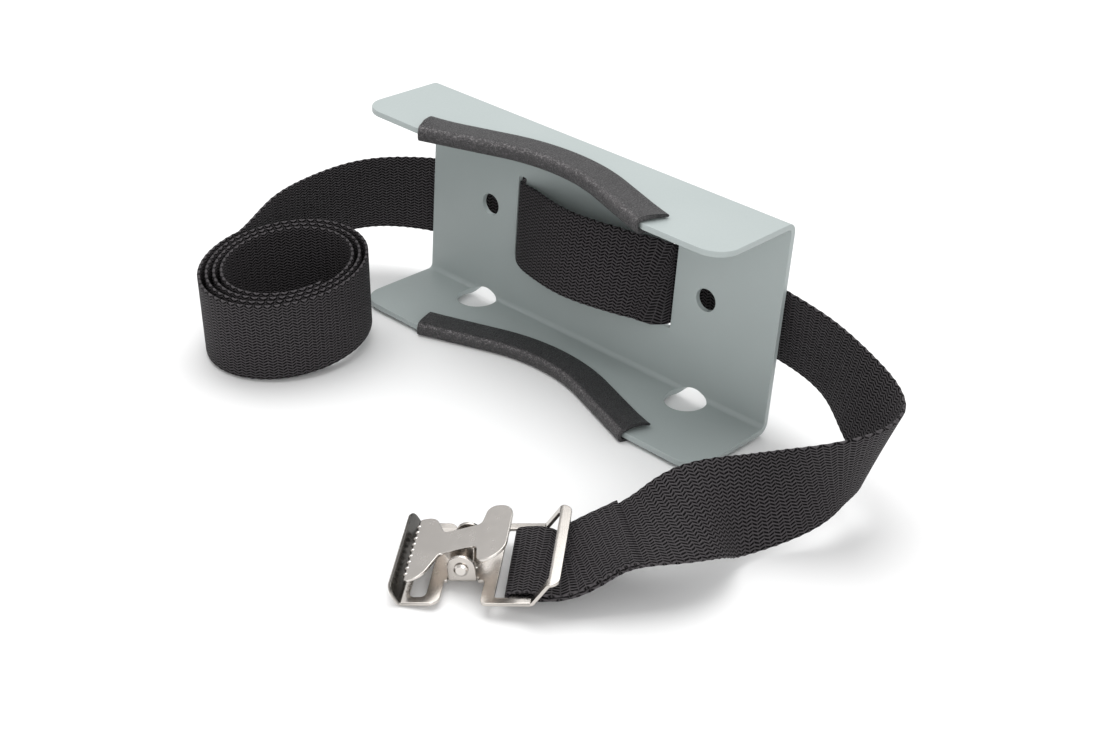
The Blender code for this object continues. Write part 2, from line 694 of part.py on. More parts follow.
def main():
    clear_scene()
    parts = make_collection("cylinder_bracket")
    paint = material("painted_steel", (0.47, 0.52, 0.51), 0.45, 0.0)
    rubber = material("trim_vinyl", (0.045, 0.043, 0.045), 0.6)
    webbing = material("webbing", (0.03, 0.028, 0.03), 0.85)
    nickel = material("nickel_plate", (0.55, 0.52, 0.49), 0.28, 1.0)
    make_bracket(paint, parts)
    flange_middle = WEB_HEIGHT / 2 - SHEET / 2
    make_trim("upper_edge_trim", flange_middle, UPPER_TRIM_ENDS, rubber, parts)
    make_trim("lower_edge_trim", -flange_middle, LOWER_TRIM_ENDS, rubber, parts)
    make_coil(webbing, parts)
    make_strap(webbing, parts)
    swing = joint_empty("buckle_swing_axis", BAR_MIDDLE, PLATE / 2, parts)
    pivot = joint_empty("lever_pivot_axis", PIN_ALONG, PIN_HEIGHT, parts, swing)
    make_buckle_frame(nickel, parts, swing)
    make_lever(nickel, parts, pivot)
    make_pin(nickel, parts, pivot)
    make_spring(nickel, parts, pivot)


main()
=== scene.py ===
"""Cylinder wall bracket with webbing strap and toothed lever buckle, lit in a plain studio."""
import math

import bmesh
import bpy
import numpy as np
from mathutils import Matrix, Vector


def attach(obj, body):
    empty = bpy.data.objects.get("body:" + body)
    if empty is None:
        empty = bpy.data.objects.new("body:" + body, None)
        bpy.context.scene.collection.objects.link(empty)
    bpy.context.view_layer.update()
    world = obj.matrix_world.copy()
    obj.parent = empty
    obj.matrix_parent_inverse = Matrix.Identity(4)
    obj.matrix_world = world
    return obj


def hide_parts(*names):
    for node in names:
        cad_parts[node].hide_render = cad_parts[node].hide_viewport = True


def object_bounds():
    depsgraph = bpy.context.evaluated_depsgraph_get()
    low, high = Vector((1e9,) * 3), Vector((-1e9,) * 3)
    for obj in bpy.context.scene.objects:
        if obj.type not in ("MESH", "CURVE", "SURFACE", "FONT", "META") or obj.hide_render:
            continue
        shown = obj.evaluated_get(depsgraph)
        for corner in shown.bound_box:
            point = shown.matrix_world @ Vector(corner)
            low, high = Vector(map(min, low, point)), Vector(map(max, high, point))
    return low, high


MM = 0.001

# Camera: place in millimetres, turn and lens of the product view
CAMERA_PLACE = Vector((564.6, -694.3, 425.9)) * MM
CAMERA_AZIMUTH = math.radians(40.56)
CAMERA_ELEVATION = math.radians(29.58)
CAMERA_ROLL = math.radians(4.02)
CAMERA_LENS = 54.98

# Bracket
SHEET = 3.5 * MM
WEB_WIDTH = 267 * MM
WEB_HEIGHT = 130 * MM
FLANGE_DEPTH = 65.5 * MM
BEND_RADIUS = 3 * MM
FLANGE_CORNER = 15 * MM
BOLT_X = 84 * MM
BOLT_DIAMETER = 13.5 * MM
BEND_HOLE_WIDTH = 24 * MM
BEND_HOLE_LENGTH = 26.6 * MM
BEND_HOLE_FRONT = 24.7 * MM
SLOT_OUTER_X = 61.5 * MM
SLOT_WIDTH = 6 * MM
SLOT_HEIGHT = 53.8 * MM
EDGE_ROUNDING = 0.45 * MM

# Cylinder seat in each flange, and the trim on its edge
SEAT_RADIUS = 100 * MM
SEAT_DEPTH = 40.7 * MM
SEAT_SLOPE = math.radians(21.5)
SEAT_CORNER = 4 * MM
TRIM_WALL = 1.5 * MM
TRIM_GAP = 0.3 * MM
TRIM_LIP = 16 * MM
TRIM_FLARE_REACH = 20 * MM
UPPER_TRIM_ENDS = (-83 * MM, 81 * MM)
LOWER_TRIM_ENDS = (-80.5 * MM, 84 * MM)

# Strap
STRAP_WIDTH = 50.8 * MM
STRAP_THICKNESS = 1.8 * MM
FOLD_LENGTH = 55 * MM
FOLD_PLY_GAP = 0.5 * MM
EDGE_SCALLOP = 0.4 * MM
COIL_CENTRE = Vector((-121.5, -132.5, -34.7)) * MM
COIL_AXIS = Vector((0.04, -0.11, 1)).normalized()
COIL_INNER_X = 31.5 * MM
COIL_INNER_Y = 37.5 * MM
COIL_GROWTH_X = 3.6 * MM
COIL_GROWTH_Y = 4.6 * MM
COIL_TURNS = 3.5
STRAP_STEP = 0.9 * MM
WEAVE_PERIOD = 5.2 * MM
WEAVE_PITCH = 1.95 * MM

# Studio: light places and sizes in metres, powers in watts
FLOOR_REACH = 6
FLOOR_DROP = 0.2 * MM
WORLD_STRENGTH = 0.64
LIGHT_TARGET = (0, -0.1, 0)
KEY_LIGHT = ((-0.35, 0.15, 1.3), (1.5, 1.5), 19.5)
FILL_LIGHT = ((1.2, -1.0, 0.6), (1.0, 1.0), 9)

# The strap's middle line, x y z in millimetres, and its lean from upright in degrees
LEFT_RUN = [
    (-175, -105, -25.5, 4), (-181, -70, -21, 5), (-171.5, -28, -16, 7), (-138.5, 2, -14, -1),
    (-104, 12, -10.5, -10), (-80, 11.5, -5, -8), (-67, 6.5, -1.6, -3),
]
FRONT_SPAN = [
    (-60.4, 1.8, -1, -1), (-59, -1.75, -0.9, 0), (-57.9, -5, -0.8, 0), (-53.6, -8.5, -0.4, -3),
    (-43.5, -13.5, 1, -8), (-23, -22, 3.5, -9), (3.5, -26.7, 4.8, -10), (30, -22.8, 5.2, -10),
    (41, -18.6, 4.4, -8), (50.5, -13, 3, -6), (55.4, -8.6, 0.8, -3), (58, -5, 0, 0),
    (59, -1.75, 0, 0), (60.4, 1.8, 0, 0),
]
RIGHT_LOOP = [
    (68, 6.6, 0, 0), (84, 8.5, 0.2, 3), (106, 9, -0.5, 9), (134, 7.5, -2.2, 12), (164, 4.2, -7, 7),
    (193, -7.5, -14.3, -9), (220, -28, -21.5, -17), (217, -59, -27, -11), (200, -82, -37, 10),
    (187, -104, -40, 31), (183.5, -127, -34, 53), (176, -149, -35.5, 77), (161, -171, -44, 92),
]

# The strap's last rows: along, across and up in the buckle's own frame, and the lean
BUCKLE_END = [(34, 31, -0.9, 88), (24, 31, -1.3, 87), (16.2, 31, -1.7, 87)]

# Buckle
BUCKLE_ORIGIN = Vector((138.5, -234.3, -61.1)) * MM
BUCKLE_ALONG = Vector((0.803, 0.579, 0.141)).normalized()
BUCKLE_ACROSS = Vector((-0.590, 0.806, 0.052)).normalized()
PLATE = 1.8 * MM
BUCKLE_WIDTH = 62 * MM
BUCKLE_EDGE = 0.4 * MM
BAR_FROM = 13.7 * MM
BAR_TO = 17.2 * MM
RAIL_WIDTH = 4.7 * MM
STRIP_FROM = -0.4 * MM
STRIP_TO = 6 * MM
JAW_INNER = -20 * MM
WAIST_WIDTH = 27.8 * MM
END_BEND_LOW = 23.4 * MM
END_BEND_HIGH = 37.7 * MM
END_BEND_ANGLE = math.radians(52)
JAW_LINE = -37.8 * MM
JAW_RISE = 11 * MM
JAW_ANGLE = math.radians(66)
PLATE_BEND_RADIUS = 1 * MM
EAR_FOOT = 11.5 * MM
EAR_HALF_LENGTH = 6.8 * MM
EAR_HEIGHT = 15.5 * MM
EAR_RELIEF = 0.6 * MM
PIN_ALONG = -11 * MM
PIN_HEIGHT = 8.3 * MM
PIN_RADIUS = 2.2 * MM
LEVER_PLATE = 1.5 * MM
LEVER_SLOPE = math.radians(15.7)
LEVER_RISE = 6.4 * MM
LEVER_WAIST = 16.4 * MM
TOOTH_COUNT = 9
TOOTH_PITCH = 4.6 * MM
TOOTH_HALF_WIDTH = 1.9 * MM
TOOTH_ROOT = -25 * MM
TOOTH_TIP = -29 * MM
TOOTH_BEND = -24.2 * MM
TOOTH_BEND_ANGLE = math.radians(75)
KNOB_ALONG = -24.9 * MM
KNOB_DROP = 1.25 * MM
KNOB_RADII = (1.75 * MM, 1.45 * MM, 1.6 * MM)

# Stitches of the strap's folded end
STITCH_RADIUS = 0.28 * MM
STITCH_PITCH = 3.1 * MM


def clean(mesh, distance=0.00001):
    work = bmesh.new()
    work.from_mesh(mesh)
    bmesh.ops.remove_doubles(work, verts=work.verts, dist=distance)
    bmesh.ops.recalc_face_normals(work, faces=work.faces)
    if work.calc_volume(signed=True) < 0:
        bmesh.ops.reverse_faces(work, faces=work.faces)
    work.to_mesh(mesh)
    work.free()
    return mesh


def add_object(name, mesh, mat, smooth_angle=40):
    mesh.name = name
    obj = bpy.data.objects.new(name, mesh)
    bpy.context.scene.collection.objects.link(obj)
    mesh.materials.clear()
    mesh.materials.append(mat)
    mesh.shade_smooth()
    mesh.set_sharp_from_angle(angle=math.radians(smooth_angle))
    return obj


def evaluated_mesh(obj):
    graph = bpy.context.evaluated_depsgraph_get()
    mesh = bpy.data.meshes.new_from_object(obj.evaluated_get(graph))
    bpy.data.objects.remove(obj, do_unlink=True)
    return mesh


# ---------------------------------------------------------------- materials

class Nodes:
    """Short calls to build a material's node tree."""

    def __init__(self, name, color, roughness, metallic=0.0):
        self.mat = bpy.data.materials.new(name)
        self.mat.use_nodes = True
        self.tree = self.mat.node_tree
        self.shader = self.tree.nodes["Principled BSDF"]
        self.shader.inputs["Base Color"].default_value = (*color, 1)
        self.shader.inputs["Roughness"].default_value = roughness
        self.shader.inputs["Metallic"].default_value = metallic

    def new(self, kind, **settings):
        node = self.tree.nodes.new(kind)
        for key, value in settings.items():
            setattr(node, key, value)
        return node

    def put(self, socket, value):
        if isinstance(value, bpy.types.NodeSocket):
            self.tree.links.new(value, socket)
        else:
            socket.default_value = value

    def math(self, operation, *values):
        node = self.new("ShaderNodeMath", operation=operation)
        for socket, value in zip(node.inputs, values):
            self.put(socket, value)
        return node.outputs[0]

    def remap(self, value, low, high, to_low=0.0, to_high=1.0):
        node = self.new("ShaderNodeMapRange")
        for socket, item in zip(node.inputs, (value, low, high, to_low, to_high)):
            self.put(socket, item)
        return node.outputs[0]

    def noise(self, scale, detail=3.0, roughness=0.5, vector=None):
        node = self.new("ShaderNodeTexNoise")
        node.inputs["Scale"].default_value = scale
        node.inputs["Detail"].default_value = detail
        node.inputs["Roughness"].default_value = roughness
        self.put(node.inputs["Vector"], vector or self.place())
        return node.outputs["Fac"]

    def place(self):
        return self.new("ShaderNodeTexCoord").outputs["Object"]

    def mix(self, factor, a, b):
        node = self.new("ShaderNodeMix", data_type="RGBA")
        self.put(node.inputs["Factor"], factor)
        for socket, value in ((node.inputs["A"], a), (node.inputs["B"], b)):
            colour = [s for s in node.inputs if s.type == "RGBA" and s.name == socket.name][0]
            self.put(colour, value if isinstance(value, bpy.types.NodeSocket) else (*value, 1))
        return [s for s in node.outputs if s.type == "RGBA"][0]

    def bump(self, height, distance, strength=1.0, normal=None):
        node = self.new("ShaderNodeBump")
        node.inputs["Distance"].default_value = distance
        node.inputs["Strength"].default_value = strength
        self.put(node.inputs["Height"], height)
        if normal:
            self.put(node.inputs["Normal"], normal)
        return node.outputs[0]

    def set(self, name, value):
        self.put(self.shader.inputs[name], value)


def powder_coat():
    m = Nodes("powder_coat", (0.42, 0.46, 0.45), 0.42)
    grain = m.noise(900, 2)
    cloud = m.noise(9, 3)
    m.set("Base Color", m.mix(m.remap(cloud, 0.35, 0.65), (0.36, 0.405, 0.40), (0.385, 0.43, 0.425)))
    m.set("Roughness", m.remap(grain, 0.3, 0.7, 0.36, 0.46))
    m.set("Normal", m.bump(m.math("ADD", grain, m.noise(260, 1)), 0.00006, 0.4))
    return m.mat


def vinyl():
    """Black vinyl with a leather grain; pale scuff flecks and a painted highlight along the ridge of the
    nose.
    """
    m = Nodes("trim_vinyl", (0.04, 0.038, 0.04), 0.5)
    cells = m.new("ShaderNodeTexVoronoi", feature="DISTANCE_TO_EDGE")
    cells.inputs["Scale"].default_value = 620
    m.put(cells.inputs["Vector"], m.place())
    crease = m.remap(cells.outputs["Distance"], 0.0, 0.2)
    lumps = m.noise(420, 4, 0.65)
    ridge = m.new("ShaderNodeAttribute", attribute_name="ridge").outputs["Fac"]
    fleck = m.remap(m.noise(900, 3, 0.7), 0.5, 0.68)
    scuff_and_highlight = m.math("MULTIPLY", ridge, m.math("ADD", m.math("MULTIPLY", fleck, 0.8), 0.16))
    shade = m.remap(lumps, 0.35, 0.7, 0.0, 1.0)
    plain = m.mix(shade, (0.014, 0.0135, 0.0145), (0.032, 0.030, 0.032))
    # Scuff flecks plus painted highlight: the ridge mask lifts the nose's upper front towards pale grey,
    # evenly and more so in the flecks.
    m.set("Base Color", m.mix(scuff_and_highlight, plain, (0.25, 0.235, 0.24)))
    m.set("Roughness", m.remap(crease, 0, 1, 0.55, 0.34))
    height = m.math("ADD", m.math("MULTIPLY", crease, 0.6), lumps)
    m.set("Normal", m.bump(height, 0.0007, 0.85))
    return m.mat


def webbing():
    """Zigzag weave: rows along the strap that wave from side to side, with slanted gaps that get painted
    shade.
    """
    m = Nodes("webbing", (0.03, 0.028, 0.03), 0.8)
    split = m.new("ShaderNodeSeparateXYZ")
    m.put(split.inputs[0], m.new("ShaderNodeUVMap", uv_map="strap").outputs[0])
    along, across = split.outputs[0], split.outputs[1]
    wobble = m.math("MULTIPLY", m.math("SUBTRACT", m.noise(160, 2), 0.5), 0.0010)
    phase = m.math("DIVIDE", m.math("ADD", along, wobble), WEAVE_PERIOD)
    zigzag = m.math("PINGPONG", phase, 0.5)
    sway = m.math("MULTIPLY", zigzag, 1.5 * WEAVE_PITCH)
    row = m.math("DIVIDE", m.math("ADD", m.math("ADD", across, wobble), sway), WEAVE_PITCH)
    ridge = m.math("ABSOLUTE", m.math("SINE", m.math("MULTIPLY", row, math.pi)))
    turn = m.math("ABSOLUTE", m.math("SUBTRACT", m.math("MULTIPLY", zigzag, 4), 1))
    bridge = m.remap(turn, 0.72, 1.0)
    body = m.remap(ridge, 0.5, 1.0)
    height = m.math("MAXIMUM", body, m.math("MULTIPLY", bridge, 0.8))
    thread = m.math("SINE", m.math("MULTIPLY", m.math("ADD", along, m.math("MULTIPLY", across, 0.6)),
                                   2 * math.pi / 0.0008))
    ragged = m.math("ADD", m.math("MULTIPLY", thread, 0.05), m.math("MULTIPLY", m.noise(1500, 2), 0.25))
    height = m.math("ADD", height, ragged)
    # Painted shade: the colour follows the bump height, near black in the weave's gaps.
    m.set("Base Color", m.mix(m.remap(height, 0.15, 1.0), (0.0012, 0.001, 0.0012), (0.052, 0.046, 0.05)))
    m.set("Roughness", 0.7)
    m.set("Specular IOR Level", m.remap(height, 0.1, 0.8, 0.05, 0.4))
    m.set("Normal", m.bump(height, 0.0007, 0.9))
    return m.mat


def nickel(name="nickel_plate", color=(0.68, 0.645, 0.61), roughness=0.24, with_painted_shade=False):
    """Satin nickel plate; the frame's plate can take painted shade, darkest on the turned-up jaw wall's
    inner face.
    """
    m = Nodes(name, color, roughness, 1.0)
    dull = m.noise(45, 3)
    plain = m.mix(m.remap(dull, 0.35, 0.7), [c * 0.95 for c in color], color)
    if with_painted_shade:
        # Painted shade: where the "shade" point attribute is high the colour goes near black (the jaw
        # wall's inner face, and the feet of two bends).
        shade = m.new("ShaderNodeAttribute", attribute_name="shade").outputs["Fac"]
        plain = m.mix(shade, plain, (0.075, 0.072, 0.068))
    m.set("Base Color", plain)
    m.set("Roughness", m.remap(m.noise(160, 2), 0.3, 0.7, roughness - 0.03, roughness + 0.04))
    return m.mat


def flat_faces(obj):
    """Large faces keep their own normal, so that flat plates look flat up to their round edges."""
    normals = obj.modifiers.new("normals", "WEIGHTED_NORMAL")
    normals.weight = 100
    normals.keep_sharp = True


# ---------------------------------------------------------------- bracket

def plate_mesh(outlines, thickness, bevel=0.0, steps=0):
    curve = bpy.data.curves.new("plate", "CURVE")
    curve.dimensions = "2D"
    curve.fill_mode = "BOTH"
    curve.extrude = thickness / 2 - bevel
    curve.bevel_depth = bevel
    curve.bevel_resolution = steps
    curve.offset = -bevel
    for outline in outlines:
        spline = curve.splines.new("POLY")
        spline.points.add(len(outline) - 1)
        for point, (along, across) in zip(spline.points, outline):
            point.co = (along, across, 0, 1)
        spline.use_cyclic_u = True
    obj = bpy.data.objects.new("plate", curve)
    bpy.context.scene.collection.objects.link(obj)
    mesh = clean(evaluated_mesh(obj))
    mesh.transform(Matrix.Translation((0, 0, thickness / 2)))
    return mesh


def circle(x, y, radius, steps=64, stretch=1.0):
    turn = [2 * math.pi * (i + 0.5) / steps for i in range(steps)]
    return [(x + radius * math.cos(t), y + radius * stretch * math.sin(t)) for t in turn]


def rounded(corners, steps=10):
    """An outline from corners (x, y, radius), each rounded with an arc."""
    outline = []
    for i, (x, y, radius) in enumerate(corners):
        here = Vector((x, y))
        before = (Vector(corners[i - 1][:2]) - here).normalized()
        after = (Vector(corners[(i + 1) % len(corners)][:2]) - here).normalized()
        if radius == 0:
            outline.append((x, y))
            continue
        half = before.angle(after) / 2
        start = here + before * radius / math.tan(half)
        centre = here + (before + after).normalized() * radius / math.sin(half)
        sweep = (start - centre).angle_signed(here + after * radius / math.tan(half) - centre)
        for k in range(steps + 1):
            spoke = (start - centre).copy()
            spoke.rotate(Matrix.Rotation(-sweep * k / steps, 2))
            outline.append(tuple(centre + spoke))
    return outline


def bend(mesh, axis, start, direction, inner_radius, angle, thickness, inside=None, steps=12):
    """Bends a plate up (angle > 0) or down about a line across it, at start along axis 0 or 1."""
    work = bmesh.new()
    work.from_mesh(mesh)
    up = angle > 0
    turn = abs(angle)
    length = turn * (inner_radius + thickness / 2)
    normal = Vector((1, 0, 0)) if axis == 0 else Vector((0, 1, 0))
    for k in range(steps + 1):
        place = normal * (start + direction * length * k / steps)
        geometry = work.verts[:] + work.edges[:] + work.faces[:]
        bmesh.ops.bisect_plane(work, geom=geometry, dist=1e-7, plane_co=place, plane_no=normal)
    for vert in work.verts:
        past = (vert.co[axis] - start) * direction
        if past <= 0 or (inside and not inside(vert.co.x, vert.co.y)):
            continue
        height = vert.co.z if up else thickness - vert.co.z
        reach = thickness + inner_radius - height
        theta = min(past / length, 1) * turn
        rest = max(past - length, 0)
        out = reach * math.sin(theta) + rest * math.cos(theta)
        rise = thickness + inner_radius - reach * math.cos(theta) + rest * math.sin(theta)
        vert.co[axis] = start + direction * out
        vert.co.z = rise if up else thickness - rise
    work.to_mesh(mesh)
    work.free()


def seat_line(x):
    """Distance of the seat's edge from the wall face, at a distance x from the middle."""
    tangent = SEAT_RADIUS * math.sin(SEAT_SLOPE)
    if abs(x) <= tangent:
        return SEAT_DEPTH + SEAT_RADIUS - math.sqrt(SEAT_RADIUS ** 2 - x * x)
    drop = SEAT_RADIUS * (1 - math.cos(SEAT_SLOPE))
    return SEAT_DEPTH + drop + (abs(x) - tangent) * math.tan(SEAT_SLOPE)


def seat_path(left, right, steps=48, line_steps=2):
    tangent = SEAT_RADIUS * math.sin(SEAT_SLOPE)
    arc = [SEAT_RADIUS * math.sin(SEAT_SLOPE * (2 * k / steps - 1)) for k in range(steps + 1)]
    lead = [left + (-tangent - left) * k / line_steps for k in range(line_steps)]
    tail = [right + (tangent - right) * k / line_steps for k in range(line_steps)][::-1]
    return [(x, seat_line(x)) for x in lead + arc + tail]


def make_bracket(mat):
    outer = BEND_RADIUS + SHEET
    bend_length = math.pi / 2 * (BEND_RADIUS + SHEET / 2)
    web_half = WEB_HEIGHT / 2 - outer
    half_width = WEB_WIDTH / 2

    def flat(distance):
        return web_half + bend_length + distance - outer

    tangent = SEAT_RADIUS * math.sin(SEAT_SLOPE)
    mouth = tangent + (FLANGE_DEPTH - seat_line(tangent)) / math.tan(SEAT_SLOPE)
    seat = seat_path(SEAT_CORNER - mouth, mouth - SEAT_CORNER)[::-1]
    front = flat(FLANGE_DEPTH)
    side = rounded([
        (half_width, 0, 0), (half_width, front, FLANGE_CORNER), (mouth, front, SEAT_CORNER),
        (mouth - SEAT_CORNER, flat(seat[0][1]), 0),
    ])[1:-1]
    top = side + [(x, flat(d)) for x, d in seat] + [(-x, y) for x, y in side[::-1]]
    outline = top + [(x, -y) for x, y in top[::-1]]
    hole_y = -(flat(BEND_HOLE_FRONT) - BEND_HOLE_LENGTH / 2)
    slot_x = SLOT_OUTER_X - SLOT_WIDTH / 2
    holes = []
    for sign in (-1, 1):
        holes.append(circle(sign * BOLT_X, 0, BOLT_DIAMETER / 2))
        oval = BEND_HOLE_LENGTH / BEND_HOLE_WIDTH
        holes.append(circle(sign * BOLT_X, hole_y, BEND_HOLE_WIDTH / 2, stretch=oval))
        left, right = sign * slot_x - SLOT_WIDTH / 2, sign * slot_x + SLOT_WIDTH / 2
        low, high = -SLOT_HEIGHT / 2, SLOT_HEIGHT / 2
        corner = SLOT_WIDTH * 0.2
        holes.append(rounded([
            (left, low, corner), (right, low, corner), (right, high, corner), (left, high, corner),
        ], 5))
    mesh = plate_mesh([outline] + holes, SHEET, EDGE_ROUNDING, 2)
    for direction in (-1, 1):
        bend(mesh, 1, direction * web_half, direction, BEND_RADIUS, math.pi / 2, SHEET, steps=16)
    mesh.transform(Matrix(((1, 0, 0, 0), (0, 0, -1, 0), (0, 1, 0, 0), (0, 0, 0, 1))))
    obj = add_object("folded_bracket", clean(mesh), mat, 30)
    flat_faces(obj)
    return obj


# ---------------------------------------------------------------- edge trims

def surface_mesh(rows, closed_across=False):
    mesh = bpy.data.meshes.new("surface")
    width = len(rows[0])
    points = [tuple(p) for row in rows for p in row]
    across = width if closed_across else width - 1
    faces = [
        (r * width + c, (r + 1) * width + c, (r + 1) * width + (c + 1) % width, r * width + (c + 1) % width)
        for r in range(len(rows) - 1)
        for c in range(across)
    ]
    if closed_across:
        last = (len(rows) - 1) * width
        faces += [tuple(range(width)), tuple(last + c for c in reversed(range(width)))]
    mesh.from_pydata(points, [], faces)
    return mesh


def trim_section(rise_up, rise_down):
    """Closed U section of the trim: (depth from the seat's edge, height, scuff and painted highlight),
    outside then inside.

    rise_up and rise_down fatten the upper and lower half of the nose.
    """
    inner = SHEET / 2 + TRIM_GAP
    outer = inner + TRIM_WALL
    tip = TRIM_WALL / 2
    bulge = inner * 0.55 + TRIM_WALL + 0.6 * MM
    outside = []
    for k in range(25):
        t = math.radians(90 - 180 * k / 24)
        fat = rise_up if t > 0 else rise_down
        height = (outer + fat) * abs(math.sin(t)) ** 0.8 * (1 if t > 0 else -1)
        degrees = math.degrees(t)
        # Scuff and painted highlight mask: strongest where the nose faces up and to the front, weaker on
        # its front.
        scuff_and_highlight = math.exp(-((degrees - 48) / 26) ** 2) + 0.3 * math.exp(-((degrees + 5) / 45) ** 2)
        outside.append((-TRIM_GAP - bulge * max(math.cos(t), 0) ** 0.8, height, scuff_and_highlight))
    inside = []
    for k in range(13):
        t = math.radians(-90 + 180 * k / 12)
        inside.append((-TRIM_GAP - inner * 0.55 * math.cos(t), inner * math.sin(t), 0))

    def lip(fat):
        """The outer face from the nose to the lip's round end, and the inner face back."""
        out = []
        for k in range(1, 9):
            share = k / 8
            out.append((TRIM_LIP * share, outer + fat * (1 - share) ** 0.7, 0.12 * (1 - share)))
        out += [(TRIM_LIP + tip * 0.6, outer - tip * 0.3, 0), (TRIM_LIP + tip * 0.9, inner + tip, 0),
                (TRIM_LIP + tip * 0.6, inner + tip * 0.3, 0)]
        back = [(TRIM_LIP * k / 5, inner, 0) for k in range(5, 0, -1)]
        return out + back

    low = [(d, -h, w) for d, h, w in lip(rise_down)]
    return outside + low + inside + lip(rise_up)[::-1]


def make_trim(name, height, ends, mat, flares, rise_up, rise_down):
    """flares are how far the upper lip stands off the sheet at its left and right end."""
    path = seat_path(*ends, 90, 40)
    section = trim_section(rise_up, rise_down)
    rows = []
    for i, (x, distance) in enumerate(path):
        along = (Vector(path[min(i + 1, len(path) - 1)]) - Vector(path[max(i - 1, 0)])).normalized()
        inward = Vector((along.y, -along.x))
        if inward.y > 0:
            inward = -inward
        nearness = max(0.0, 1 - min(x - ends[0], ends[1] - x) / TRIM_FLARE_REACH)
        flare = flares[0 if x < 0 else 1] * nearness ** 2
        row = []
        for depth, rise, scuff_and_highlight in section:
            spot = Vector((x, distance)) + inward * depth
            share = max(0.0, depth / TRIM_LIP)
            arch = min(1, share / 0.3) - 0.35 * max(0, share - 0.8) / 0.2
            lift = flare * arch if rise > 0 else 0
            row.append((spot.x, -spot.y, height + rise + lift))
        rows.append(row)
    mesh = surface_mesh(rows, True)
    # Point attribute "ridge": scuff flecks and painted highlight along the nose.
    scuffs_and_highlight = mesh.attributes.new("ridge", "FLOAT", "POINT")
    scuffs_and_highlight.data.foreach_set("value", [w for d, h, w in section] * len(rows))
    return add_object(name, clean(mesh), mat, 60)


# ---------------------------------------------------------------- strap

def natural_spline(points, samples):
    data = np.array(points, float)
    chord = np.linalg.norm(np.diff(data[:, :3], axis=0), axis=1) ** 0.7
    knots = np.concatenate([[0], np.cumsum(chord)])
    step = np.diff(knots)
    count = len(knots)
    system = np.eye(count)
    right = np.zeros_like(data)
    for i in range(1, count - 1):
        system[i, i - 1:i + 2] = step[i - 1], 2 * (step[i - 1] + step[i]), step[i]
        right[i] = 6 * ((data[i + 1] - data[i]) / step[i] - (data[i] - data[i - 1]) / step[i - 1])
    second = np.linalg.solve(system, right)
    fine = np.linspace(0, knots[-1], samples * 8)
    cell = np.clip(np.searchsorted(knots, fine, side="right") - 1, 0, count - 2)
    a = ((knots[cell + 1] - fine) / step[cell])[:, None]
    b = 1 - a
    width = (step[cell] ** 2 / 6)[:, None]
    curve = a * data[cell] + b * data[cell + 1]
    curve += ((a ** 3 - a) * second[cell] + (b ** 3 - b) * second[cell + 1]) * width
    length = np.concatenate([[0], np.cumsum(np.linalg.norm(np.diff(curve[:, :3], axis=0), axis=1))])
    even = np.linspace(0, length[-1], samples)
    return np.stack([np.interp(even, length, curve[:, k]) for k in range(data.shape[1])], 1)


def unit(rows):
    return rows / np.linalg.norm(rows, axis=1, keepdims=True)


def band(points):
    """Middle points and across directions of the strap, from rows x y z lean."""
    middle = points[:, :3] * MM
    along = unit(np.gradient(middle, axis=0))
    upright = unit(np.array([0, 0, 1.0]) - along * along[:, 2:3])
    side = np.cross(along, upright)
    lean = np.radians(points[:, 3:4])
    return middle, np.cos(lean) * upright + np.sin(lean) * side


def coil_point(turns):
    angle = -2 * math.pi * turns
    x_axis = (Vector((1, 0, 0)) - COIL_AXIS * COIL_AXIS.x).normalized()
    y_axis = COIL_AXIS.cross(x_axis)
    reach_x = COIL_INNER_X + COIL_GROWTH_X * turns
    reach_y = COIL_INNER_Y + COIL_GROWTH_Y * turns
    return COIL_CENTRE + x_axis * reach_x * math.cos(angle) + y_axis * reach_y * math.sin(angle)


def buckle_point(along, across, up):
    normal = BUCKLE_ALONG.cross(BUCKLE_ACROSS)
    return BUCKLE_ORIGIN + BUCKLE_ALONG * along + BUCKLE_ACROSS * across + normal * up


def strap_band():
    """Middle line, across direction and distance travelled along the whole strap, evenly spaced."""
    turns = np.linspace(0, COIL_TURNS, 900)
    coil = np.array([coil_point(t) for t in turns])
    tail = [coil_point(COIL_TURNS - back / 28) / MM for back in (3, 2, 1, 0)]
    start = [(p.x, p.y, p.z, 4) for p in tail]
    end = []
    for along, across, up, lean in BUCKLE_END:
        end.append((*(buckle_point(along * MM, across * MM, up * MM) / MM), lean))
    run = natural_spline(start + LEFT_RUN + FRONT_SPAN + RIGHT_LOOP + end, 1600)
    middle, across = band(run)
    join = int(np.argmin(np.linalg.norm(middle - coil[-1], axis=1)))
    axis = np.array(COIL_AXIS)
    for i in range(join, join + 60):
        share = (i - join) / 60
        across[i] = (1 - share) * axis + share * across[i]
    across = unit(across)
    fold_middle, fold_across = strap_fold(middle, across)
    middle = np.concatenate([coil, middle[join + 1:], fold_middle])
    across = np.concatenate([np.tile(axis, (len(coil), 1)), across[join + 1:], fold_across])
    length = np.concatenate([[0], np.cumsum(np.linalg.norm(np.diff(middle, axis=0), axis=1))])
    even = np.arange(0, length[-1], STRAP_STEP)
    middle = np.stack([np.interp(even, length, middle[:, k]) for k in range(3)], 1)
    across = unit(np.stack([np.interp(even, length, across[:, k]) for k in range(3)], 1))
    return middle, across, even


